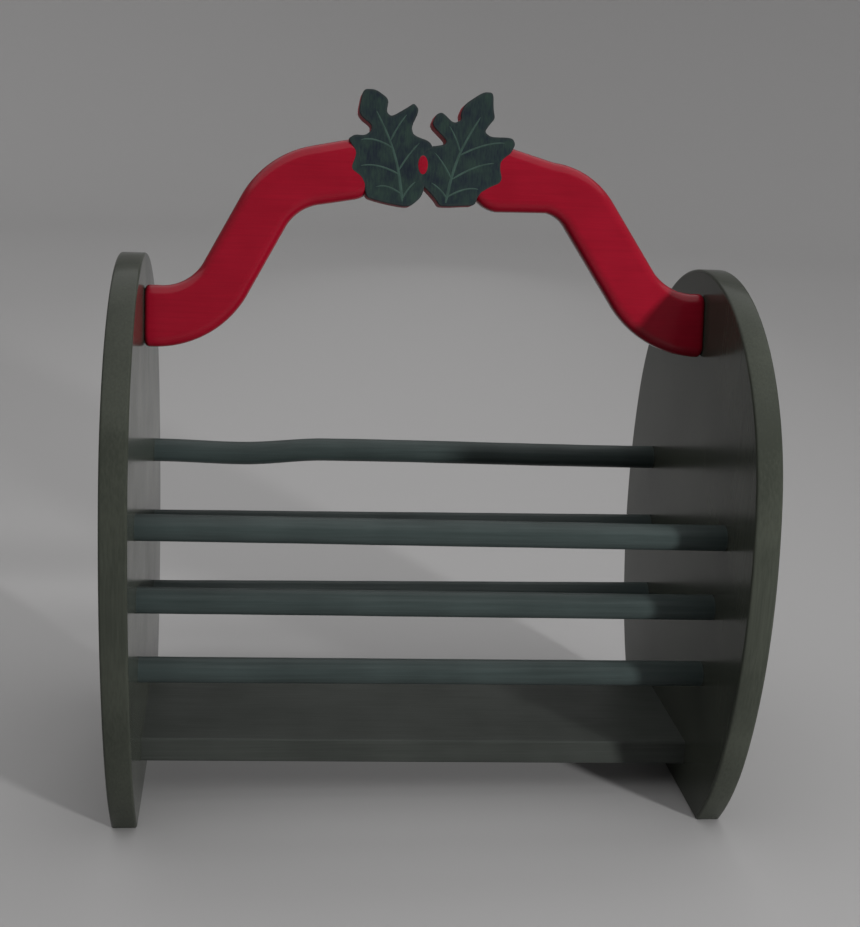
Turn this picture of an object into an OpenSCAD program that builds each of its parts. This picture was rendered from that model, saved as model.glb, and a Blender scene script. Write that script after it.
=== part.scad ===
/* [Overall] */
// Clear width between the two end boards
inner_width = 283; // [220:1:360]
// Front to back depth of the end boards
board_depth = 232; // [210:1:280]
// Height of the end boards
board_height = 272; // [255:1:330]
// Thickness of the board stock used for ends, floor and handle
stock = 12.7; // [10:0.1:16]

/* [End boards] */
// Height of the widest point as a share of the height of an end board
widest_share = 0.478; // [0.44:0.002:0.52]
// Radius of the long side curve
side_radius = 240; // [200:1:300]
// Radius of the curve that runs in to the foot
foot_radius = 149; // [140:1:180]
// Turn of the side curve below the widest point, in degrees
foot_turn = 20; // [15:1:25]

/* [Rails] */
// Diameter of the round rails
rail_d = 12.7; // [9:0.1:15]
// Depth of the blind sockets in the end boards
socket_depth = 6.5; // [4:0.1:9]
// Height of the top rails
top_rail_height = 153.9; // [140:0.1:170]
// Drop from one rail to the next
rail_spacing = 39.2; // [30:0.1:42]
// Distance of the top rails from the middle of the basket
top_rail_reach = 70.2; // [60:0.1:85]
// Step towards the middle from one rail to the next
rail_step = 7.3; // [0:0.1:10]
// Drop of the front rails on their way from the left end board to the right one
front_slant = 3; // [0:0.1:4]
// How much lower the rear rails sit than the middles of the front rails
rear_drop = 0.8; // [0:0.1:2]
// Sag of the rear top rail before its natural crook
crook_dip = 1.2; // [0:0.1:2]
// Rise of the rear top rail over its crook
crook_rise = 1.6; // [0:0.1:3]
// Length of the crook
crook_length = 46; // [30:1:70]
// Distance of the crook from the left end board
crook_start = 48; // [30:1:80]

/* [Floor] */
// Front to back width of the floor board
floor_width = 89; // [60:1:95]
// Height of the underside of the floor board at its middle
floor_height = 19; // [5:1:30]
// Drop of the floor board on its way from the left end board to the right one
floor_slant = 4.8; // [0:0.1:6]

/* [Handle] */
// Drop from the top of the end boards to the middle of the handle's left end
handle_drop = 30; // [26:0.5:40]
// Extra height of the handle's right end
right_lift = 2; // [0:0.5:4]
// Backward lean of the handle, in degrees
handle_lean = 10; // [0:1:12]
// Radius of the rounded-over edges
edge_radius = 5.5; // [1:0.5:6]
// Rounding of the two end faces
end_round = 2.5; // [0.5:0.5:3]
// Radius of the left arm's lower bend
left_lower_bend = 37.5; // [34:0.5:46]
// Radius of the left arm's upper bend
left_upper_bend = 37; // [28:0.5:46]
// Radius of the right arm's lower bend
right_lower_bend = 41.5; // [34:0.5:46]
// Radius of the right arm's upper bend
right_upper_bend = 29; // [28:0.5:46]
// Steepest slope of the left arm, in degrees
left_slope = 61.5; // [52:0.5:66]
// Steepest slope of the right arm, in degrees
right_slope = 56.5; // [52:0.5:66]
// Slope left over beside the leaves on the left, in degrees
left_tilt = 11; // [0:0.5:14]
// Slope left over beside the leaves on the right, in degrees
right_tilt = 7.5; // [0:0.5:14]
// Rise of the left arm to the end of its upper bend
left_rise = 71.2; // [64:0.1:80]
// Rise of the right arm to the end of its upper bend
right_rise = 67.2; // [64:0.1:80]
// Widths of the left arm: at its end, on the slope, after the upper bend, beside the leaves
left_widths = [30.5, 26.5, 29, 29.5]; // [24:0.5:34]
// Widths of the right arm at the same four places
right_widths = [32.5, 28, 25.5, 33]; // [24:0.5:34]

/* [Holly leaves] */
// Length of a leaf along its main vein
leaf_length = 57; // [46:0.5:65]
// Reach of the widest lobe from the main vein
leaf_reach = 22.5; // [17:0.5:26]
// Lean of the left leaf away from upright, in degrees
left_lean = 17.5; // [12:0.5:25]
// Lean of the right leaf away from upright, in degrees
right_lean = 21; // [12:0.5:25]
// Half the distance between the stalk ends of the leaves
leaf_half_gap = 10.5; // [8:0.5:13]
// Shift of the pair of leaves to the right
leaf_shift = -5; // [-8:0.5:8]
// Height of the stalk ends of the leaves above the handle's left end
leaf_rise = 58.5; // [54:0.5:64]

/* [Screws] */
// Shank diameter of the wood screws
screw_d = 3.5; // [3:0.1:4.5]
// Head diameter of the wood screws
screw_head_d = 7; // [6:0.1:8]
// Length of the wood screws
screw_length = 32; // [25:1:40]
// Distance between the two screws in each handle end
handle_screw_spacing = 12; // [9:0.5:14]
// Distance between the two screws in each end of the floor board
floor_screw_spacing = 50; // [30:1:50]

/* [Fits] */
// Radial clearance of rails in their sockets and of screws in their holes
fit_clearance = 0.1; // [0.05:0.05:0.2]

/* [Hidden] */
$fn = 96;
paint_green = "#37473f";
paint_red = "#b5142a";
half_width = inner_width / 2;
half_depth = board_depth / 2;
rail_length = inner_width + 2 * (socket_depth - fit_clearance);
screw_head_height = 2.2;
screw_tip = 6;
handle_end_height = board_height - handle_drop;
handle_screw_height = handle_end_height + right_lift / 2;
round_over = min(edge_radius, stock / 2 - 0.5);
floor_middle = floor_height + stock / 2;

// End board outline: one arc over the top, then a side arc and a foot arc down each flank
widest_height = widest_share * board_height;
side_centre = [half_depth - side_radius, widest_height];
top_rise = board_height - widest_height;
top_radius = (pow(side_radius, 2) - pow(side_radius - half_depth, 2) - pow(top_rise, 2))
             / (2 * (side_radius - top_rise));
top_centre = [0, board_height - top_radius];
top_turn = atan2(top_centre[1] - side_centre[1], top_centre[0] - side_centre[0]);
foot_centre = side_centre + (side_radius - foot_radius) * [cos(foot_turn), -sin(foot_turn)];
foot_end = -asin(foot_centre[1] / foot_radius);

// Leaf margins from stalk to tip: share of the leaf's length, share of its reach
left_outer = [[-0.025, 0], [0.03, 0.28], [0.09, 0.55], [0.14, 0.74], [0.25, 0.7], [0.32, 0.73],
              [0.41, 0.91], [0.52, 0.7], [0.57, 0.7], [0.66, 0.77], [0.68, 0.6], [0.65, 0.39],
              [0.67, 0.23], [0.72, 0.19], [0.8, 0.34], [0.86, 0.38], [1.03, 0.15]];
left_inner = [[-0.04, 0.15], [0.01, 0.44], [0.12, 0.62], [0.3, 0.95], [0.44, 0.99], [0.54, 0.64],
              [0.61, 0.65], [0.73, 0.92], [0.8, 0.85], [0.78, 0.69], [0.74, 0.29], [0.79, 0.21],
              [0.89, 0.34], [1, 0.12]];
right_outer = [[0, 0.08], [0.06, 0.4], [0.1, 0.62], [0.2, 0.61], [0.29, 0.78], [0.36, 0.96],
               [0.41, 0.97], [0.48, 0.85], [0.54, 0.8], [0.64, 0.93], [0.73, 0.95], [0.77, 0.82],
               [0.7, 0.38], [0.72, 0.21], [0.79, 0.25], [0.86, 0.31], [0.93, 0.2], [1.06, 0.06]];
right_inner = [[-0.025, 0.1], [0.01, 0.22], [0.05, 0.43], [0.1, 0.75], [0.25, 0.98], [0.4, 0.85],
               [0.48, 0.5], [0.52, 0.5], [0.59, 0.94], [0.69, 0.93], [0.73, 0.82], [0.68, 0.5],
               [0.73, 0.37], [0.78, 0.44], [0.87, 0.43], [1.03, 0.15]];

function rail_y(level) = top_rail_reach - level * rail_step;
function rail_z(side, level) = top_rail_height - level * rail_spacing - (side > 0 ? rear_drop : 0);
function mix(p, q, share) = p + (q - p) * share;

// Closed outline along a ring of points, each corner rounded off from a share of its sides
function smooth(ring, cut = 0.35, steps = 5) = [
    for (i = [0:len(ring) - 1])
        let (before = mix(ring[i], ring[(i + len(ring) - 1) % len(ring)], cut),
             after = mix(ring[i], ring[(i + 1) % len(ring)], cut))
            for (k = [0:steps])
                let (s = k / steps)
                    pow(1 - s, 2) * before + 2 * s * (1 - s) * ring[i] + s * s * after
];

function arc(centre, radius, from, to, steps) = [
    for (k = [0:steps])
        let (turn = from + (to - from) * k / steps)
            centre + radius * [cos(turn), sin(turn)]
];

function mirrored(points) = [for (i = [len(points) - 1:-1:0]) [-points[i][0], points[i][1]]];

// Solid through a row of rings that all have the same number of points
module skin(rings) {
    count = len(rings[0]);
    last = len(rings) - 1;
    sides = [for (i = [0:last - 1], j = [0:count - 1], half = [0, 1])
                let (k = (j + 1) % count, a = i * count, b = (i + 1) * count)
                    half == 0 ? [a + j, b + k, b + j] : [a + j, a + k, b + k]];
    caps = [[for (j = [count - 1:-1:0]) j], [for (j = [0:count - 1]) last * count + j]];
    polyhedron([for (ring = rings, p = ring) p], concat(sides, caps));
}

module end_blank() {
    flank = concat(arc(foot_centre, foot_radius, foot_end, -foot_turn, 12),
                   arc(side_centre, side_radius, 1 - foot_turn, top_turn, 20),
                   arc(top_centre, top_radius, top_turn + 2, 90, 40));
    crown = [for (i = [0:len(flank) - 2]) flank[i]];
    linear_extrude(stock) polygon(concat(flank, mirrored(crown)));
}

// Turned outline of a screw, or of its countersunk hole when grow is above 0
module screw_shape(grow = 0) {
    r = screw_d / 2 + grow;
    head_r = screw_head_d / 2 + grow;
    rotate([0, 90, 0])
        rotate_extrude()
            polygon([[0, 0], [head_r, 0], [r, screw_head_height],
                     [r, screw_length - screw_tip], [0.2 + grow, screw_length + grow],
                     [0, screw_length + grow]]);
}

// The handle and its screws lean back about the line between the handle's ends
module leaned() {
    translate([0, 0, handle_end_height])
        rotate([-handle_lean, 0, 0])
            translate([0, 0, -handle_end_height]) children();
}

// Screws or screw holes of the left end, entering from the outer face
module left_handle_screws(grow = 0) {
    leaned()
        for (side = [-1, 1])
            translate([-half_width - stock, 0, handle_screw_height + side * handle_screw_spacing / 2])
                screw_shape(grow);
}

module left_floor_screws(grow = 0) {
    for (side = [-1, 1])
        translate([-half_width - stock, side * floor_screw_spacing / 2, floor_middle])
            screw_shape(grow);
}

module both_ends() {
    children();
    mirror([1, 0, 0]) children();
}

module drive_cuts() {
    both_ends()
        for (side = [-1, 1]) {
            leaned()
                translate([-half_width - stock, 0, handle_screw_height + side * handle_screw_spacing / 2])
                    drive_cross();
            translate([-half_width - stock, side * floor_screw_spacing / 2, floor_middle])
                drive_cross();
        }
}

module drive_cross() {
    cube([2.4, 0.9, 3.6], center = true);
    cube([2.4, 3.6, 0.9], center = true);
}

// A rail from socket to socket, or the bore for it when grow is above 0; the front ones run down to the right
module rail_bar(side, level, grow = 0) {
    translate([0, side * rail_y(level), rail_z(side, level)])
        rotate([0, 90 + (side < 0 ? atan(front_slant / inner_width) : 0), 0])
            cylinder(d = rail_d + 2 * grow, h = rail_length + 2 * grow, center = true);
}

module left_blank() {
    difference() {
        translate([-half_width - stock, 0, 0]) rotate([90, 0, 90]) end_blank();
        left_handle_screws(fit_clearance);
        left_floor_screws(fit_clearance);
    }
}

module rail_bores() {
    for (level = [0:2], side = [-1, 1]) rail_bar(side, level, fit_clearance);
}

module left_end_board() {
    color(paint_green)
        difference() {
            left_blank();
            rail_bores();
        }
}

module right_end_board() {
    color(paint_green)
        difference() {
            mirror([1, 0, 0]) left_blank();
            rail_bores();
        }
}

// The floor board runs down to the right, its ends cut flush with the end boards
module floor_board() {
    color(paint_green)
        difference() {
            intersection() {
                translate([0, 0, floor_middle])
                    rotate([0, atan(floor_slant / inner_width), 0])
                        cube([inner_width + stock, floor_width, stock], center = true);
                translate([0, 0, floor_middle])
                    cube([inner_width, floor_width + stock, 4 * stock], center = true);
            }
            both_ends() left_floor_screws(fit_clearance);
        }
}

module straight_rail(side, level) {
    color(paint_green) rail_bar(side, level);
}

module front_top_rail() { straight_rail(-1, 0); }
module front_middle_rail() { straight_rail(-1, 1); }
module front_bottom_rail() { straight_rail(-1, 2); }
module rear_middle_rail() { straight_rail(1, 1); }
module rear_bottom_rail() { straight_rail(1, 2); }

// The rear top rail sags a little, climbs over a short crook and eases down to the right
function ease(share) = let (u = min(max(share, 0), 1)) u * u * (3 - 2 * u);
function crook(x) =
    let (foot = crook_start - half_width, top = foot + crook_length)
        x < foot ? -crook_dip * ease((x + half_width) / crook_start)
        : x < top ? mix(-crook_dip, crook_rise, ease((x - foot) / crook_length))
        : crook_rise * ease((half_width - x) / (half_width - top));

module rear_top_rail() {
    top = crook_start + crook_length - half_width;
    stations = concat([-rail_length / 2],
                      [for (k = [0:3]) crook_start * k / 4 - half_width],
                      [for (k = [0:7]) crook_start + crook_length * k / 8 - half_width],
                      [for (k = [0:6]) mix(top, half_width, k / 6)],
                      [rail_length / 2]);
    color(paint_green)
        translate([0, rail_y(0), rail_z(1, 0)])
            skin([for (x = stations)
                     [for (turn = [0:10:350])
                         [x, rail_d / 2 * cos(turn), crook(x) + rail_d / 2 * sin(turn)]]]);
}

// Right half of an arm's section: half its width across, stock thickness through, both less inset
function arm_half_section(half, inset, steps = 5) =
    let (deep = stock / 2 - inset,
         r = min(round_over, deep - 0.3),
         across = max(half - inset - r, 0.5))
        [for (side = [-1, 1], k = [0:steps])
            let (turn = (side > 0 ? 0 : -90) + 90 * k / steps)
                [across, side * (deep - r)] + r * [cos(turn), sin(turn)]];

function arm_section(half, inset) =
    let (right = arm_half_section(half, inset)) concat(right, mirrored(right));

// Stations of one arm, each a place, a heading, half a width and an inset: a rounded end, a bend
// up, a climb, a bend back to the tilt and a round nose behind the leaves
function arm_stations(height, lead, lower, upper, slope, tilt, rise, widths, nose, steps = 9) =
    let (climb = (rise - lower * (1 - cos(slope)) - upper * (cos(tilt) - cos(slope))) / sin(slope),
         p0 = [-half_width, height],
         p1 = p0 + [lead, 0],
         p2 = p1 + lower * [sin(slope), 1 - cos(slope)] + climb * [cos(slope), sin(slope)],
         p3 = p2 + upper * [sin(slope) - sin(tilt), cos(tilt) - cos(slope)],
         run = max((nose - p3[0]) / cos(tilt), 1))
        concat([for (k = [0:4]) let (a = 90 * k / 4)
                   [p0 + [end_round * (1 - cos(a)), 0], 0, widths[0] / 2, end_round * (1 - sin(a))]],
               [for (k = [0:steps]) let (u = k / steps, a = slope * u)
                   [p1 + lower * [sin(a), 1 - cos(a)], a, mix(widths[0], widths[1], u) / 2, 0]],
               [for (k = [0:steps]) let (u = k / steps, a = mix(slope, tilt, u))
                   [p2 + upper * [sin(slope) - sin(a), cos(a) - cos(slope)], a,
                    mix(widths[1], widths[2], u) / 2, 0]],
               [for (k = [0:6]) let (a = 68 * k / 6)
                   [p3 + (run + widths[3] / 2 * sin(a)) * [cos(tilt), sin(tilt)], tilt,
                    widths[3] / 2 * cos(a), 0]]);

module arm(stations) {
    skin([for (s = stations)
             [for (p = arm_section(s[2], s[3]))
                 [s[0][0] - p[0] * sin(s[1]), p[1], s[0][1] + p[0] * cos(s[1])]]]);
}

// Leaf plate with its stalk end at the foot, leaning to the side given by its sign
module leaf_plate(side, lean, outer, inner) {
    ring = concat([for (p = outer) [side * p[1] * leaf_reach, p[0] * leaf_length]],
                  [for (i = [len(inner) - 1:-1:0])
                      [-side * inner[i][1] * leaf_reach, inner[i][0] * leaf_length]]);
    translate([leaf_shift + side * leaf_half_gap, stock / 2, handle_end_height + leaf_rise])
        rotate([90, 0, 0])
            linear_extrude(stock) rotate(-side * lean) polygon(smooth(ring));
}

module handle() {
    color(paint_red)
        difference() {
            leaned() {
                arm(arm_stations(handle_end_height, 6.5, left_lower_bend, left_upper_bend,
                                 left_slope, left_tilt, left_rise, left_widths, -42));
                mirror([1, 0, 0])
                    arm(arm_stations(handle_end_height + right_lift, 3.5, right_lower_bend,
                                     right_upper_bend, right_slope, right_tilt, right_rise,
                                     right_widths, -34));
                leaf_plate(-1, left_lean, left_outer, left_inner);
                leaf_plate(1, right_lean, right_outer, right_inner);
            }
            both_ends() left_handle_screws(fit_clearance);
        }
}

module handle_screws() {
    color("silver")
        difference() {
            both_ends() left_handle_screws();
            drive_cuts();
        }
}

module floor_screws() {
    color("silver")
        difference() {
            both_ends() left_floor_screws();
            drive_cuts();
        }
}

left_end_board();
right_end_board();
floor_board();
handle();
front_top_rail();
front_middle_rail();
front_bottom_rail();
rear_top_rail();
rear_middle_rail();
rear_bottom_rail();
handle_screws();
floor_screws();
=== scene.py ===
import bmesh
import bpy
import numpy as np
from mathutils import Matrix


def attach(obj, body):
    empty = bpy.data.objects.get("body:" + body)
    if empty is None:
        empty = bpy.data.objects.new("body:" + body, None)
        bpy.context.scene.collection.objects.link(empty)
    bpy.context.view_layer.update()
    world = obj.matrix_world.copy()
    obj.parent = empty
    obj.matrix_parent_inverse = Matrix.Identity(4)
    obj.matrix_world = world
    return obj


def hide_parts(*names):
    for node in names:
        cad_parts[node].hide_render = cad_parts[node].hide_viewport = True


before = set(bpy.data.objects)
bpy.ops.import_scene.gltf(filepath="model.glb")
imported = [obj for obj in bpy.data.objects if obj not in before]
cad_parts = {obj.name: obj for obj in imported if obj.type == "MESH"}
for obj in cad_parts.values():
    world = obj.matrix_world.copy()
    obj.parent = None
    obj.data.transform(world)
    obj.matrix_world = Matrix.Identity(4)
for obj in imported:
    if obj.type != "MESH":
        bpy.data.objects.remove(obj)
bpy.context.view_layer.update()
print("frame loaded:", len(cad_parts), "nodes")

mm = 0.001                      # the basket's values are in millimetres, Blender's are in metres
stock = 12.7                    # board thickness and dowel diameter
innerHalf = 141.5               # half the clear width between the end boards
outerHalf = innerHalf + stock


def hexColor(code):             # sRGB hex to linear RGBA
    c = np.array([int(code[i:i + 2], 16) for i in (1, 3, 5)]) / 255
    linear = np.where(c <= 0.04045, c / 12.92, ((c + 0.055) / 1.055) ** 2.4)
    return (*linear.tolist(), 1.0)


def addNode(tree, kind, inputs=None, **settings):      # an input that is a socket is linked, others are set
    node = tree.nodes.new(kind)
    for key, value in settings.items():
        setattr(node, key, value)
    for key, value in (inputs or {}).items():
        if isinstance(value, bpy.types.NodeSocket):
            tree.links.new(value, node.inputs[key])
        else:
            node.inputs[key].default_value = value
    return node


def startMaterial(name):        # a new material, its tree and its shader
    material = bpy.data.materials.new(name)
    material.use_nodes = True
    tree = material.node_tree
    return material, tree, tree.nodes["Principled BSDF"]


# Brushed enamel on sanded wood: an even colour with soft lap patches, fine bristle lines along the
# stroke, a slow swell where the paint levelled out, and a satin gloss that varies a little
brushwork = {"bristleDetail": 3, "bristleRoughness": 0.6, "bristleDepth": 0.2, "lapDetail": 2,
             "swellDetail": 1, "swellDepth": 0.6, "colorSpan": (0.75, 1.25), "glossSpan": (0.7, 1.3)}


def brushedEnamel(name, paint):
    material, tree, shader = startMaterial(name)
    place = addNode(tree, "ShaderNodeTexCoord").outputs["Object"]
    long, wide = 1 / (paint["strokeLength"] * mm), 1 / (paint["bristle"] * mm)
    along = {"x": (long, wide, wide), "z": (wide, wide, long)}[paint["along"]]
    stroke = addNode(tree, "ShaderNodeMapping", {"Vector": place, "Scale": along}).outputs[0]
    bristles = addNode(tree, "ShaderNodeTexNoise", {
        "Vector": stroke, "Scale": 1, "Detail": brushwork["bristleDetail"],
        "Roughness": brushwork["bristleRoughness"]}).outputs["Fac"]
    laps = addNode(tree, "ShaderNodeTexNoise", {
        "Vector": place, "Scale": 1 / (paint["lapSize"] * mm),
        "Detail": brushwork["lapDetail"]}).outputs["Fac"]
    swell = addNode(tree, "ShaderNodeTexNoise", {
        "Vector": place, "Scale": 1 / (paint["swellSize"] * mm),
        "Detail": brushwork["swellDetail"]}).outputs["Fac"]
    mottle = addNode(tree, "ShaderNodeMath", {0: bristles, 1: laps}, operation="ADD").outputs[0]
    share = addNode(tree, "ShaderNodeMapRange", {
        "Value": mottle, "From Min": brushwork["colorSpan"][0],
        "From Max": brushwork["colorSpan"][1]}).outputs[0]
    color = addNode(tree, "ShaderNodeMix", {
        0: share, 6: hexColor(paint["thin"]), 7: hexColor(paint["full"])}, data_type="RGBA").outputs[2]
    gloss = addNode(tree, "ShaderNodeMapRange", {
        "Value": mottle, "From Min": brushwork["glossSpan"][0], "From Max": brushwork["glossSpan"][1],
        "To Min": paint["rough"][0], "To Max": paint["rough"][1]}).outputs[0]
    fine = addNode(tree, "ShaderNodeBump", {
        "Height": bristles, "Strength": paint["bristleBump"],
        "Distance": brushwork["bristleDepth"] * mm}).outputs[0]
    slow = addNode(tree, "ShaderNodeBump", {
        "Height": swell, "Normal": fine, "Strength": paint["swellBump"],
        "Distance": brushwork["swellDepth"] * mm}).outputs[0]
    for socket, value in (("Base Color", color), ("Roughness", gloss), ("Normal", slow)):
        tree.links.new(value, shader.inputs[socket])
    shader.inputs["Specular IOR Level"].default_value = paint["shine"]
    return material


railPaint = {"thin": "#37403f", "full": "#2d3534", "along": "x", "strokeLength": 45, "bristle": 0.9,
             "lapSize": 38, "swellSize": 14, "rough": (0.34, 0.44), "bristleBump": 0.05,
             "swellBump": 0.08, "shine": 0.2}
boardPaint = dict(railPaint, thin="#3c3f38", full="#32352f", along="z", rough=(0.16, 0.23),
                  bristleBump=0.03, shine=0.1)
floorPaint = dict(railPaint, thin="#3b3e3b", full="#313431")
redPaint = {"thin": "#860f22", "full": "#7b0b1d", "along": "x", "strokeLength": 30, "bristle": 0.9,
            "lapSize": 24, "swellSize": 12, "rough": (0.14, 0.2), "bristleBump": 0.05,
            "swellBump": 0.12, "shine": 0.22}
# the leaves have acrylic craft paint: the same brushwork, duller and in short strokes
leafPaint = {"thin": "#293732", "full": "#1c222a", "along": "z", "strokeLength": 10, "bristle": 0.8,
             "lapSize": 9, "swellSize": 8, "rough": (0.42, 0.56), "bristleBump": 0.12,
             "swellBump": 0.1, "shine": 0.1}
veinPaint = {"thin": "#364a43", "full": "#2b3c37", "along": "z", "strokeLength": 6, "bristle": 0.5,
             "lapSize": 5, "swellSize": 4, "rough": (0.42, 0.55), "bristleBump": 0.1,
             "swellBump": 0.05, "shine": 0.3}
rimPaint = dict(leafPaint, thin="#2c3634", full="#24292c")
wallPaint = dict(leafPaint, thin="#8a1226", full="#7e0e21", shine=0.05)
berryPaint = dict(redPaint, strokeLength=4, bristle=0.5, lapSize=3)

enamelRails = brushedEnamel("greenEnamelOnDowel", railPaint)
enamelBoards = brushedEnamel("greenEnamelOnBoard", boardPaint)
enamelFloor = brushedEnamel("greenEnamelOnFloor", floorPaint)
enamelHandle = brushedEnamel("redEnamelOnBoard", redPaint)
paintLeaf = brushedEnamel("leafGreenCraftPaint", leafPaint)
paintRim = brushedEnamel("leafEdgeCraftPaint", rimPaint)
paintWall = brushedEnamel("redCraftPaint", wallPaint)
paintVein = brushedEnamel("veinGreenCraftPaint", veinPaint)
paintBerry = brushedEnamel("berryRedCraftPaint", berryPaint)


# Zinc-plated steel: a pale grey metal with fine crystal mottling and a soft, slightly dull shine
zinc = {"color": "#b3b5b4", "grain": 0.5, "detail": 4, "rough": (0.25, 0.5)}


def zincPlatedSteel():
    material, tree, shader = startMaterial("zincPlatedSteel")
    place = addNode(tree, "ShaderNodeTexCoord").outputs["Object"]
    grain = addNode(tree, "ShaderNodeTexNoise", {
        "Vector": place, "Scale": 1 / (zinc["grain"] * mm), "Detail": zinc["detail"]}).outputs["Fac"]
    gloss = addNode(tree, "ShaderNodeMapRange", {
        "Value": grain, "To Min": zinc["rough"][0], "To Max": zinc["rough"][1]}).outputs[0]
    tree.links.new(gloss, shader.inputs["Roughness"])
    shader.inputs["Base Color"].default_value = hexColor(zinc["color"])
    shader.inputs["Metallic"].default_value = 1
    return material


screwSteel = zincPlatedSteel()
for node in ("handle_screws", "floor_screws"):
    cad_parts[node].data.materials.clear()
    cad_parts[node].data.materials.append(screwSteel)
print("materials made")


def gridQuads(rows, cols):      # quads of a grid that wraps round in its second direction
    i, j = np.meshgrid(np.arange(rows - 1), np.arange(cols), indexing="ij")
    k = (j + 1) % cols
    return np.stack([i * cols + j, i * cols + k, (i + 1) * cols + k, (i + 1) * cols + j], -1).reshape(-1, 4)


def turnOutwards(mesh):         # faces of a closed skin all pointing out
    work = bmesh.new()
    work.from_mesh(mesh)
    bmesh.ops.recalc_face_normals(work, faces=work.faces)
    work.to_mesh(mesh)
    work.free()


def loftPiece(name, rings, materials, bands=None):     # skin through rows of points, both ends closed flat
    rows, cols = rings.shape[:2]
    faces = gridQuads(rows, cols).tolist()
    faces += [list(range(cols))[::-1], list(range((rows - 1) * cols, rows * cols))]
    mesh = bpy.data.meshes.new(name)
    mesh.from_pydata((rings.reshape(-1, 3) * mm).tolist(), [], faces)
    for material in materials:
        mesh.materials.append(material)
    if bands is not None:       # a material number for the first end, each band of quads and the last end
        numbers = np.concatenate([np.repeat(bands[1:-1], cols), [bands[0], bands[-1]]]).astype(np.int32)
        mesh.polygons.foreach_set("material_index", numbers)
    turnOutwards(mesh)
    piece = bpy.data.objects.new(name, mesh)
    bpy.context.scene.collection.objects.link(piece)
    return piece


def joinPieces(name, parts):    # several meshes in one object
    work = bmesh.new()
    for part in parts:
        work.from_mesh(part.data)
    first = parts[0]
    work.to_mesh(first.data)
    work.free()
    for part in parts[1:]:
        bpy.data.objects.remove(part)
    first.name = first.data.name = name
    return first


def combine(piece, tool, operation):    # exact boolean, applied, and the tool goes
    modifier = piece.modifiers.new(operation.lower(), "BOOLEAN")
    modifier.operation, modifier.object, modifier.solver = operation, tool, "EXACT"
    depsgraph = bpy.context.evaluated_depsgraph_get()
    mesh = bpy.data.meshes.new_from_object(piece.evaluated_get(depsgraph))
    piece.modifiers.clear()
    piece.data = mesh
    bpy.data.objects.remove(tool)


def finishPiece(piece, node, angle=32):   # smooth below the angle in degrees, sharp above it
    mesh = piece.data
    mesh.shade_smooth()
    mesh.set_sharp_from_angle(angle=np.radians(angle))
    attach(piece, "root")
    if node:
        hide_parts(node)
    print(piece.name, len(mesh.vertices), "points")


def insetRings(ring, depths):   # copies of a closed ring, each corner moved inwards along its mitre
    ahead = np.roll(ring, -1, 0) - ring
    ahead /= np.linalg.norm(ahead, axis=1, keepdims=True)
    normal = np.stack([-ahead[:, 1], ahead[:, 0]], 1)
    before = np.roll(normal, 1, 0)
    mitre = (normal + before) / (1 + np.sum(normal * before, 1, keepdims=True))
    return ring[None] + np.asarray(depths)[:, None, None] * mitre[None]


def easedEdge(half, ease, lip=0.4, steps=5):
    # across a plate from face to face: a flat lip, a quarter round, the edge, a quarter round, a flat lip
    turn = np.linspace(0, np.pi / 2, steps)
    depth = np.concatenate([[ease + lip], ease * (1 - np.sin(turn))])
    across = np.concatenate([[-half], -half + ease * (1 - np.cos(turn))])
    return np.concatenate([depth, depth[::-1]]), np.concatenate([across, -across[::-1]])


def roundedSection(halfWide, halfThick, radius, lip=0.4, steps=7):
    # four quarter rounds joined by flats, with a point just inside each flat to keep it flat
    turn = np.linspace(0, np.pi / 2, steps)
    corner = np.stack([halfWide - radius + radius * np.cos(turn),
                       halfThick - radius + radius * np.sin(turn)], 1)
    quarter = np.concatenate([[[halfWide, halfThick - radius - lip]], corner,
                              [[halfWide - radius - lip, halfThick]]])
    upper = np.concatenate([quarter, quarter[::-1] * (-1, 1)])
    return np.concatenate([upper, -upper])


def turnedRings(profile, at, side, count=40):   # a profile of (distance, radius) turned about the X axis
    distance, radius = np.array(profile, float).T
    turn = np.linspace(0, 2 * np.pi, count, endpoint=False)
    rings = np.empty((len(distance), count, 3))
    rings[..., 0] = (at[0] + side * distance)[:, None]
    rings[..., 1] = at[1] + radius[:, None] * np.cos(turn)
    rings[..., 2] = at[2] + radius[:, None] * np.sin(turn)
    return rings


# What several pieces share: the rails and their sockets, the screws and their holes, the handle's lean
rails = {"reach": 70.2, "top": 153.9, "step": 7.3, "drop": 39.2, "slant": 3, "rearDrop": 0.8,
         "diameter": stock, "socket": 6.5, "clearance": 0.1, "around": 48}
screws = {"shank": 3.5, "head": 7, "headHeight": 2.2, "length": 32, "tip": 6, "tipRadius": 0.3,
          "clearance": 0.1, "handleHeight": 243, "handleSpacing": 12, "floorHeight": 25.35,
          "floorSpacing": 50}
railLevels = ("Top", "Middle", "Bottom")
lean = {"angle": 10, "height": 242}
cutterStart = -1                # a hole's tool starts this far outside the wood


def leanBack(points):           # turned backwards about the line between the handle's ends
    turn = np.radians(lean["angle"])
    y, z = points[..., 1], points[..., 2] - lean["height"]
    return np.stack([points[..., 0], y * np.cos(turn) + z * np.sin(turn),
                     lean["height"] + z * np.cos(turn) - y * np.sin(turn)], -1)


def railReach(level, face):     # each level down stands one step nearer the middle
    return face * (rails["reach"] - rails["step"] * level)


def railHeight(level, face, x):     # the front rails run down to the right, the rear ones lie level and lower
    shift = rails["rearDrop"] if face > 0 else rails["slant"] * x / (2 * innerHalf)
    return rails["top"] - rails["drop"] * level - shift


def screwPlaces(kind):          # Y and Z of the two screws at one end: a leaning pair or a level pair
    half = screws[kind + "Spacing"] / 2
    if kind == "handle":
        pair = np.array([(0, 0, screws["handleHeight"] + shift) for shift in (-half, half)], float)
        return leanBack(pair)[:, 1:].tolist()
    return [(shift, screws["floorHeight"]) for shift in (-half, half)]


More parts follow.
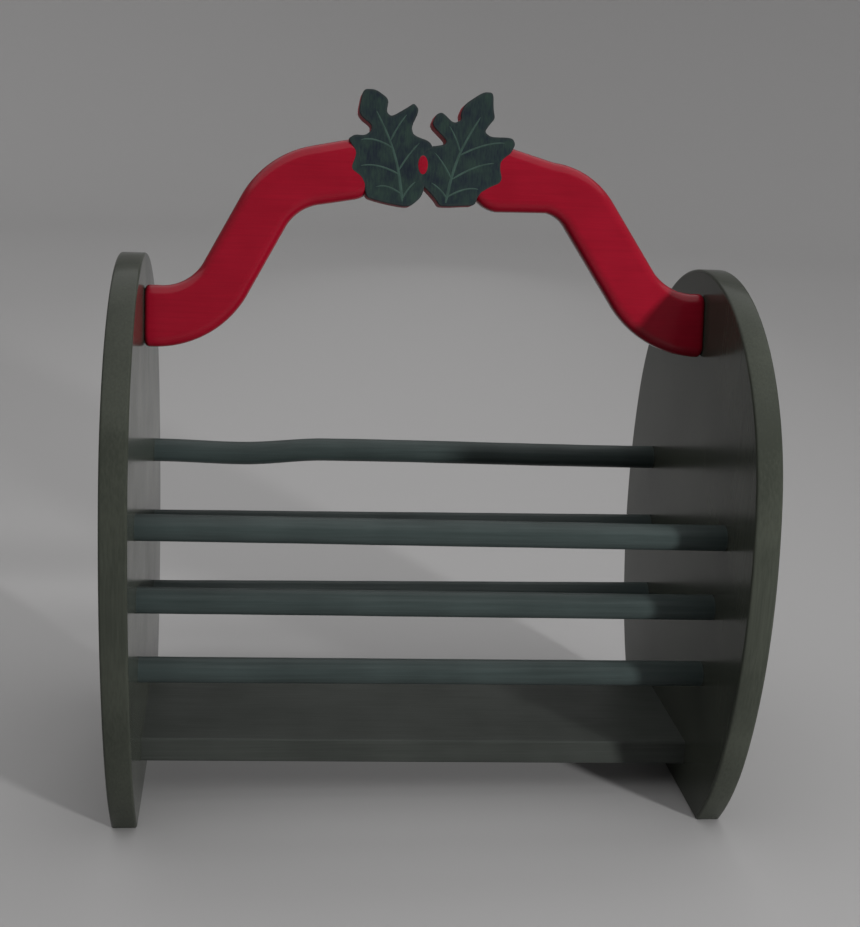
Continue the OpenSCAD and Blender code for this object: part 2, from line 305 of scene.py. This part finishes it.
def screwHole(side, y, z):      # a straight start, a countersink, a shank and a tapered tip, turned
    slack = screws["clearance"]
    shank, head = screws["shank"] / 2 + slack, screws["head"] / 2 + slack
    profile = [(cutterStart, head), (0, head), (screws["headHeight"], shank),
               (screws["length"] - screws["tip"], shank),
               (screws["length"] + slack, screws["tipRadius"])]
    return loftPiece("hole", turnedRings(profile, (side * outerHalf, y, z), -side), [])


def socketHole(side, y, z):     # a plain cylinder
    radius = rails["diameter"] / 2 + rails["clearance"]
    profile = [(cutterStart, radius), (rails["socket"], radius)]
    return loftPiece("socket", turnedRings(profile, (side * innerHalf, y, z), side, rails["around"]), [])


# End boards: an outline of arcs, with eased edges, carried through the board's thickness
endBoard = {"halfDepth": 115.99, "height": 272, "widestShare": 0.478, "sideRadius": 240,
            "footRadius": 149, "footTurn": 20, "ease": 1.3,
            "footPoints": 26, "sidePoints": 44, "topPoints": 72, "basePoints": 24}


def arcPoints(centre, radius, start, end, count):      # angles in degrees
    turn = np.radians(np.linspace(start, end, count))
    return np.stack([centre[0] + radius * np.cos(turn), centre[1] + radius * np.sin(turn)], 1)


def boardOutline(b):            # foot arc, side arc and top arc, tangent in turn, and their mirror image
    side = np.array([b["halfDepth"] - b["sideRadius"], b["widestShare"] * b["height"]])
    rise = b["height"] - side[1]
    topRadius = (b["sideRadius"] ** 2 - side[0] ** 2 - rise ** 2) / (2 * (b["sideRadius"] - rise))
    top = np.array([0, b["height"] - topRadius])
    topTurn = np.degrees(np.arctan2(top[1] - side[1], -side[0]))
    inwards = np.radians(b["footTurn"])
    foot = side + (b["sideRadius"] - b["footRadius"]) * np.array([np.cos(inwards), -np.sin(inwards)])
    footEnd = -np.degrees(np.arcsin(foot[1] / b["footRadius"]))
    flank = np.concatenate([
        arcPoints(foot, b["footRadius"], footEnd, -b["footTurn"], b["footPoints"])[:-1],
        arcPoints(side, b["sideRadius"], -b["footTurn"], topTurn, b["sidePoints"])[:-1],
        arcPoints(top, topRadius, topTurn, 90, b["topPoints"])])
    across = np.linspace(-flank[0, 0], flank[0, 0], b["basePoints"])[1:-1]
    base = np.stack([across, 0 * across], 1)
    return np.concatenate([flank, flank[-2::-1] * (-1, 1), base])


def makeEndBoard(name, node, side):     # the outline's inset copies across the thickness, less the holes
    depth, across = easedEdge(stock / 2, endBoard["ease"])
    flat = insetRings(boardOutline(endBoard), depth)
    rings = np.empty((*flat.shape[:2], 3))
    rings[..., 0] = side * (innerHalf + stock / 2) + across[:, None]
    rings[..., 1:] = flat
    board = loftPiece(name, rings, [enamelBoards])
    holes = [socketHole(side, railReach(level, face), railHeight(level, face, side * innerHalf))
             for level in range(len(railLevels)) for face in (-1, 1)]
    holes += [screwHole(side, *place) for kind in ("handle", "floor") for place in screwPlaces(kind)]
    combine(board, joinPieces(name + "Holes", holes), "DIFFERENCE")
    finishPiece(board, node)


makeEndBoard("leftEndBoard", "left_end_board", -1)
makeEndBoard("rightEndBoard", "right_end_board", 1)


# Floor board: a rounded rectangle carried from end to end, running down to the right
floorBoard = {"width": 89, "underside": 19, "slant": 4.8, "ease": 1.2, "stations": 30}


def makeFloorBoard():           # each station's section is lowered in step with its place along the board
    section = roundedSection(floorBoard["width"] / 2, stock / 2, floorBoard["ease"])
    x = np.linspace(-innerHalf, innerHalf, floorBoard["stations"])[:, None]
    rings = np.empty((len(x), len(section), 3))
    rings[..., 0] = x
    rings[..., 1] = section[:, 0]
    rings[..., 2] = section[:, 1] + floorBoard["underside"] + stock / 2
    rings[..., 2] -= floorBoard["slant"] * x / (2 * innerHalf)
    board = loftPiece("floorBoard", rings, [enamelFloor])
    holes = [screwHole(side, *place) for side in (-1, 1) for place in screwPlaces("floor")]
    combine(board, joinPieces("floorHoles", holes), "DIFFERENCE")
    finishPiece(board, "floor_board")


makeFloorBoard()


# Rails: a round section carried along a centre line, a little uneven under the paint; a wave is given
# by the length of one radian along the rail, its number of turns round it and its weight
railFinish = {"unevenness": 0.07, "below": 0.5, "calmLength": 12, "stations": 140, "smoothAngle": 40,
              "waves": [(19, 1, 1), (8.3, -2, 1), (31, 0, 1), (4.7, 3, 0.5)]}
crook = {"dip": 1.2, "rise": 1.6, "length": 46, "start": 48}


def smoothStep(share):          # 0 to 1 with a level start and end
    u = np.clip(share, 0, 1)
    return u * u * (3 - 2 * u)


def crookHeight(x):             # sags to the crook, climbs over it and eases down to the right
    foot = crook["start"] - innerHalf
    top = foot + crook["length"]
    sag = -crook["dip"] * smoothStep((x + innerHalf) / crook["start"])
    climb = sag + (crook["rise"] + crook["dip"]) * smoothStep((x - foot) / crook["length"])
    return np.where(x < top, climb, crook["rise"] * smoothStep((innerHalf - x) / (innerHalf - top)))


def makeRail(name, node, level, side, bent, seed):
    # radius: the dowel's, plus a weighted mean of sine waves that calms towards the end boards
    end = innerHalf + rails["socket"] - rails["clearance"]
    x = np.concatenate([[-end], np.linspace(-innerHalf, innerHalf, railFinish["stations"]), [end]])
    around = np.linspace(0, 2 * np.pi, rails["around"], endpoint=False)
    length, turns, weight = np.array(railFinish["waves"]).T[..., None, None]
    phase = np.random.default_rng(seed).uniform(0, 2 * np.pi, len(length))[:, None, None]
    waves = np.sin(x[:, None] / length + phase + turns * around)
    uneven = np.sum(weight * waves, 0) / np.sum(weight) - railFinish["below"]
    calm = smoothStep((innerHalf - np.abs(x)) / railFinish["calmLength"])[:, None]
    r = rails["diameter"] / 2 + uneven * railFinish["unevenness"] * calm
    middle = railHeight(level, side, x) + crookHeight(x) * bent
    rings = np.empty((len(x), len(around), 3))
    rings[..., 0] = x[:, None]
    rings[..., 1] = railReach(level, side) + r * np.cos(around)
    rings[..., 2] = middle[:, None] + r * np.sin(around)
    finishPiece(loftPiece(name, rings, [enamelRails]), node, railFinish["smoothAngle"])


for number, (face, side) in enumerate((("front", -1), ("rear", 1))):
    for level, height in enumerate(railLevels):
        node = f"{face}_{height.lower()}_rail"
        bent = node == "rear_top_rail"
        makeRail(f"{face}{height}Rail", node, level, side, bent, number * len(railLevels) + level)


# Handle: two arms with rounded-over edges, joined by two leaf plates
handle = {"edgeRadius": 5.5, "endRound": 2.5, "noseTurn": 68, "flatLip": 0.1, "leastFlat": 0.3,
          "endPoints": 7, "bendPoints": 26, "nosePoints": 10, "edgePoints": 10}
arms = {"left": {"height": 242, "lead": 6.5, "lower": 37.5, "upper": 37, "slope": 61.5, "tilt": 11,
                 "rise": 71.2, "widths": (30.5, 26.5, 29, 29.5), "nose": -42},
        "right": {"height": 244, "lead": 3.5, "lower": 41.5, "upper": 29, "slope": 56.5, "tilt": 7.5,
                  "rise": 67.2, "widths": (32.5, 28, 25.5, 33), "nose": -34}}
handlePaints = [enamelHandle, paintLeaf, paintRim, paintWall]
leafFace, leafRim, leafWall = 1, 2, 3   # their numbers in that list


def armPath(a):
    # centre line from the end board: a rounded end, an arc up, a straight climb, an arc to the tilt and a
    # nose behind the leaves; with it go the heading, the half width and the inset of the rounded end
    slope, tilt = np.radians([a["slope"], a["tilt"]])
    u = np.linspace(0, 1, handle["bendPoints"])
    up, down = slope * u, slope + (tilt - slope) * u
    bendRise = a["lower"] * (1 - np.cos(slope)) + a["upper"] * (np.cos(tilt) - np.cos(slope))
    climb = (a["rise"] - bendRise) / np.sin(slope)
    start = np.array([-innerHalf, a["height"]])
    lower = start + (a["lead"], 0) + a["lower"] * np.stack([np.sin(up), 1 - np.cos(up)], 1)
    top = lower[-1] + climb * np.array([np.cos(slope), np.sin(slope)])
    upper = top + a["upper"] * np.stack([np.sin(slope) - np.sin(down), np.cos(down) - np.cos(slope)], 1)
    turn = np.linspace(0, np.pi / 2, handle["endPoints"])
    end = start + handle["endRound"] * np.stack([1 - np.cos(turn), 0 * turn], 1)
    close = np.radians(np.linspace(0, handle["noseTurn"], handle["nosePoints"]))
    first, middle, neck, last = a["widths"]
    run = (a["nose"] - upper[-1, 0]) / np.cos(tilt) + last / 2 * np.sin(close)
    nose = upper[-1] + run[:, None] * np.array([np.cos(tilt), np.sin(tilt)])
    half = np.concatenate([0 * turn + first, first + (middle - first) * u, middle + (neck - middle) * u,
                           last * np.cos(close)]) / 2
    inset = np.concatenate([handle["endRound"] * (1 - np.sin(turn)), 0 * up, 0 * down, 0 * close])
    heading = np.concatenate([0 * turn, up, down, 0 * close + tilt])
    return np.concatenate([end, lower, upper, nose]), heading, half, inset


def makeArm(name, side):        # a rounded section carried along the path, square to its heading
    place, heading, half, inset = armPath(arms[name])
    roomy = np.minimum(half, stock / 2) - inset - handle["leastFlat"]
    radius = np.minimum(handle["edgeRadius"], roomy)
    sections = np.stack([roundedSection(h - i, stock / 2 - i, r, handle["flatLip"], handle["edgePoints"])
                         for h, i, r in zip(half, inset, radius)])
    rings = np.empty((*sections.shape[:2], 3))
    rings[..., 0] = side * -(place[:, None, 0] - sections[..., 0] * np.sin(heading)[:, None])
    rings[..., 1] = sections[..., 1]
    rings[..., 2] = place[:, None, 1] + sections[..., 0] * np.cos(heading)[:, None]
    return loftPiece(name + "Arm", leanBack(rings), handlePaints)


# Leaf margins from stalk to tip: share of the leaf's length, share of its reach; the right leaf's
# paint stands a hair prouder, so that the two faces cross cleanly where the leaves meet
leaf = {"length": 57, "reach": 22.5, "halfGap": 10.5, "shift": -5, "base": 300.5, "ease": 0.7}
leaves = {
    "left": {"side": -1, "lean": 17.5, "proud": 0.06,
             "outer": [(-0.025, 0), (0.03, 0.28), (0.09, 0.55), (0.14, 0.74), (0.25, 0.7), (0.32, 0.73),
                       (0.41, 0.91), (0.52, 0.7), (0.57, 0.7), (0.66, 0.77), (0.68, 0.6), (0.65, 0.39),
                       (0.67, 0.23), (0.72, 0.19), (0.8, 0.34), (0.86, 0.38), (1.03, 0.15)],
             "inner": [(-0.04, 0.15), (0.01, 0.44), (0.12, 0.62), (0.3, 0.95), (0.44, 0.99), (0.54, 0.64),
                       (0.61, 0.65), (0.73, 0.92), (0.8, 0.85), (0.78, 0.69), (0.74, 0.29), (0.79, 0.21),
                       (0.89, 0.34), (1, 0.12)]},
    "right": {"side": 1, "lean": 21, "proud": 0.1,
              "outer": [(0, 0.08), (0.06, 0.4), (0.1, 0.62), (0.2, 0.61), (0.29, 0.78), (0.36, 0.96),
                        (0.41, 0.97), (0.48, 0.85), (0.54, 0.8), (0.64, 0.93), (0.73, 0.95), (0.77, 0.82),
                        (0.7, 0.38), (0.72, 0.21), (0.79, 0.25), (0.86, 0.31), (0.93, 0.2), (1.06, 0.06)],
              "inner": [(-0.025, 0.1), (0.01, 0.22), (0.05, 0.43), (0.1, 0.75), (0.25, 0.98), (0.4, 0.85),
                        (0.48, 0.5), (0.52, 0.5), (0.59, 0.94), (0.69, 0.93), (0.73, 0.82), (0.68, 0.5),
                        (0.73, 0.37), (0.78, 0.44), (0.87, 0.43), (1.03, 0.15)]}}


def bezier(start, middle, end, s):      # quadratic curve
    return (1 - s) ** 2 * start + 2 * s * (1 - s) * middle + s * s * end


def smoothRing(ring, cut=0.35, steps=8):        # each corner rounded off from a share of its two sides
    before = ring + (np.roll(ring, 1, 0) - ring) * cut
    after = ring + (np.roll(ring, -1, 0) - ring) * cut
    s = np.linspace(0, 1, steps)[None, :, None]
    return bezier(before[:, None], ring[:, None], after[:, None], s).reshape(-1, 2)


def leafPoint(form, along, aside):      # shares of length and reach to X and Z on the leaf's face
    side, turn = form["side"], np.radians(form["lean"])
    u, v = np.asarray(aside, float) * leaf["reach"], np.asarray(along, float) * leaf["length"]
    x = leaf["shift"] + side * (leaf["halfGap"] + u * np.cos(turn) + v * np.sin(turn))
    return np.stack([x, leaf["base"] - u * np.sin(turn) + v * np.cos(turn)], -1)


def makeLeaf(name):             # the margin's inset copies across the thickness: face, rim, wall, rim, face
    form = leaves[name]
    outer, inner = np.array(form["outer"]), np.array(form["inner"])[::-1] * (1, -1)
    shares = np.concatenate([outer, inner])
    ring = smoothRing(leafPoint(form, shares[:, 0], shares[:, 1]))
    if form["side"] < 0:
        ring = ring[::-1]
    depth, across = easedEdge(stock / 2 + form["proud"], leaf["ease"])
    flat = insetRings(ring, depth)
    rings = np.empty((*flat.shape[:2], 3))
    rings[..., 0], rings[..., 2] = flat[..., 0], flat[..., 1]
    rings[..., 1] = across[:, None]
    half = [leafFace] + [leafRim] * (len(depth) // 2 - 1)
    return loftPiece(name + "Leaf", leanBack(rings), handlePaints, [*half, leafWall, *half[::-1]])


handlePiece = makeArm("left", -1)
combine(handlePiece, makeArm("right", 1), "UNION")
combine(handlePiece, makeLeaf("left"), "UNION")
combine(handlePiece, makeLeaf("right"), "UNION")
holes = [screwHole(side, *place) for side in (-1, 1) for place in screwPlaces("handle")]
combine(handlePiece, joinPieces("handleHoles", holes), "DIFFERENCE")
handlePiece.name = handlePiece.data.name = "handleBoard"
finishPiece(handlePiece, "handle")


# Painted veins and berry on both faces of the leaves; a side vein is given by its joint on the main
# vein, then its tip's share of the length and of the reach
veins = {"bow": 0.12, "start": 0.02, "end": 0.82, "bulge": {"outer": 0.07, "inner": 0.025}, "height": 0.12,
         "mainWidth": (1.6, 0.8), "sideWidth": (1.0, 0.6), "bluntSteps": 2, "bluntLeast": 0.15,
         "mainPoints": 30, "sidePoints": 16, "acrossPoints": 9,
         "left": {"outer": [(0.48, 0.62, 0.5), (0.25, 0.41, 0.66), (0.08, 0.2, 0.47)],
                  "inner": [(0.54, 0.72, 0.62), (0.28, 0.46, 0.72), (0.04, 0.15, 0.4)]},
         "right": {"outer": [(0.44, 0.7, 0.72), (0.22, 0.5, 0.66), (0.07, 0.24, 0.56)],
                   "inner": [(0.47, 0.64, 0.56), (0.23, 0.38, 0.64), (0.06, 0.13, 0.46)]}}
berry = {"place": (-5.9, 319.8), "half": (2.4, 4.6), "height": 0.35, "rings": 7, "around": 40}
strokeAngle = 60                # strokes of paint are shaded smooth up to this angle


def strokeRings(form, path, widths, face):      # a low parabola of paint along a path, blunt at its ends
    ahead = np.gradient(path, axis=0)
    ahead /= np.linalg.norm(ahead, axis=1, keepdims=True)
    normal = np.stack([-ahead[:, 1], ahead[:, 0]], 1)
    t = np.linspace(-1, 1, veins["acrossPoints"])
    blunt = np.sqrt(np.clip(np.arange(len(path)) / veins["bluntSteps"], veins["bluntLeast"], 1))
    half = np.linspace(*widths, len(path)) / 2 * blunt * blunt[::-1]
    rings = np.empty((len(path), len(t), 3))
    rings[..., 0] = path[:, None, 0] + normal[:, None, 0] * half[:, None] * t
    rings[..., 2] = path[:, None, 1] + normal[:, None, 1] * half[:, None] * t
    rings[..., 1] = face * (stock / 2 + form["proud"] + veins["height"] * (1 - t * t))
    return leanBack(rings)


def mainVein(form, share):      # bows towards the inner side of the leaf
    reach = np.clip((share - veins["start"]) / (veins["end"] - veins["start"]), 0, 1)
    return leafPoint(form, share, -veins["bow"] * np.sin(np.pi * reach))


def sideVein(form, joint, tipAlong, tipAside, flank):   # a curve from the main vein to near a lobe
    start = mainVein(form, np.array(joint))
    tip = leafPoint(form, tipAlong, tipAside if flank == "outer" else -tipAside)
    middle = (start + tip) / 2 + (leafPoint(form, veins["bulge"][flank], 0) - leafPoint(form, 0, 0))
    return bezier(start, middle, tip, np.linspace(0, 1, veins["sidePoints"])[:, None])


def leafStrokes(name, face):    # the main vein and the side veins on one face of a leaf
    form = leaves[name]
    main = mainVein(form, np.linspace(veins["start"], veins["end"], veins["mainPoints"]))
    rings = [strokeRings(form, main, veins["mainWidth"], face)]
    rings += [strokeRings(form, sideVein(form, *vein, flank), veins["sideWidth"], face)
              for flank in ("outer", "inner") for vein in veins[name][flank]]
    return [loftPiece("stroke", stroke, [paintVein]) for stroke in rings]


strokes = [stroke for name in leaves for face in (-1, 1) for stroke in leafStrokes(name, face)]
finishPiece(joinPieces("leafVeins", strokes), None, strokeAngle)


def berryRings(face):           # a flat dome: ellipses that shrink as they rise
    rise = np.linspace(0, np.pi / 2, berry["rings"], endpoint=False)[:, None]
    turn = np.linspace(0, 2 * np.pi, berry["around"], endpoint=False)
    rings = np.empty((len(rise), len(turn), 3))
    rings[..., 0] = berry["place"][0] + berry["half"][0] * np.cos(rise) * np.cos(turn)
    rings[..., 2] = berry["place"][1] + berry["half"][1] * np.cos(rise) * np.sin(turn)
    rings[..., 1] = face * (stock / 2 + leaves["right"]["proud"] + berry["height"] * np.sin(rise))
    return leanBack(rings)


berries = [loftPiece("dome", berryRings(face), [paintBerry]) for face in (-1, 1)]
finishPiece(joinPieces("paintedBerry", berries), None, strokeAngle)


# Stage, in metres: a pale cotton floor, matt and even, that sweeps up to a wall all round
stage = {"inner": (0.02, 0.6), "flat": 2.2, "bend": 0.9, "wall": 2.6, "bendPoints": 16, "around": 96,
         "color": "#a1a0a0", "rough": 0.9, "shine": 0.1}


def makeStage():                # a flat disc, a quarter bend and a wall, turned about the Z axis
    bend = np.linspace(0, np.pi / 2, stage["bendPoints"])
    reach = stage["flat"] + stage["bend"]
    radius = np.concatenate([stage["inner"], stage["flat"] + stage["bend"] * np.sin(bend), [reach]])
    height = np.concatenate([[0, 0], stage["bend"] * (1 - np.cos(bend)), [stage["wall"]]])
    turn = np.linspace(0, 2 * np.pi, stage["around"], endpoint=False)
    rings = np.empty((len(radius), len(turn), 3))
    rings[..., 0] = radius[:, None] * np.cos(turn)
    rings[..., 1] = radius[:, None] * np.sin(turn)
    rings[..., 2] = height[:, None]
    mesh = bpy.data.meshes.new("paleFloor")
    faces = gridQuads(*rings.shape[:2])[:, ::-1].tolist() + [list(range(len(turn)))]
    mesh.from_pydata(rings.reshape(-1, 3).tolist(), [], faces)
    mesh.shade_smooth()
    floor = bpy.data.objects.new("paleFloor", mesh)
    bpy.context.scene.collection.objects.link(floor)
    material, tree, shader = startMaterial("paleCottonSheet")
    shader.inputs["Base Color"].default_value = hexColor(stage["color"])
    shader.inputs["Roughness"].default_value = stage["rough"]
    shader.inputs["Specular IOR Level"].default_value = stage["shine"]
    mesh.materials.append(material)


makeStage()

# Light, in metres and watts: a low lamp from the right and in front, a broad faint one behind, and a
# soft glow from the room above
lamps = {"windowLamp": {"place": (1.06, -1.46, 0.52), "aim": (0.0, 0.0, 0.16), "size": 0.15,
                        "spread": 60, "power": 3.1},
         "fillLamp": {"place": (0.25, 1.85, 0.45), "aim": (0.0, 0.0, 0.2), "size": 0.8,
                      "spread": 60, "power": 1.2}}
room = {"color": "#ececec", "strength": 1.3}


def lookAt(place, aim):         # Z points back from the aim, X lies level
    back = np.array(place, float) - np.array(aim, float)
    back /= np.linalg.norm(back)
    right = np.cross((0, 0, 1), back)
    right /= np.linalg.norm(right)
    turn = np.eye(4)
    turn[:3] = np.stack([right, np.cross(back, right), back, place], 1)
    return Matrix(turn.tolist())


for name, lamp in lamps.items():
    light = bpy.data.lights.new(name, "AREA")
    light.shape, light.size, light.energy = "DISK", lamp["size"], lamp["power"]
    light.spread = np.radians(lamp["spread"])
    lampPiece = bpy.data.objects.new(name, light)
    lampPiece.matrix_world = lookAt(lamp["place"], lamp["aim"])
    lampPiece.visible_camera = lampPiece.visible_glossy = False     # no hot spot in the paint
    bpy.context.scene.collection.objects.link(lampPiece)

world = bpy.context.scene.world or bpy.data.worlds.new("room")
bpy.context.scene.world = world
world.use_nodes = True
background = world.node_tree.nodes["Background"]
background.inputs["Color"].default_value = hexColor(room["color"])
background.inputs["Strength"].default_value = room["strength"]

# Camera: the photograph's view, a little left of the middle, above and rolled slightly
view = {"place": (-87.7, -733.8, 382.0), "heading": 7.12, "tilt": 16.15, "roll": 2.8, "lens": 57.51,
        "sensor": 36}
camera = bpy.data.cameras.new("photoCamera")
camera.lens, camera.sensor_width, camera.sensor_fit = view["lens"], view["sensor"], "AUTO"
camera.dof.use_dof = False
cameraPiece = bpy.data.objects.new("photoCamera", camera)
heading, tilt, roll = np.radians([-view["heading"], 90 - view["tilt"], view["roll"]])
turned = Matrix.Rotation(heading, 4, "Z") @ Matrix.Rotation(tilt, 4, "X") @ Matrix.Rotation(roll, 4, "Z")
cameraPiece.matrix_world = Matrix.Translation(np.array(view["place"]) * mm) @ turned
bpy.context.scene.collection.objects.link(cameraPiece)
bpy.context.scene.camera = cameraPiece
bpy.context.scene.view_settings.view_transform = "Standard"
print("stage, light and camera set")
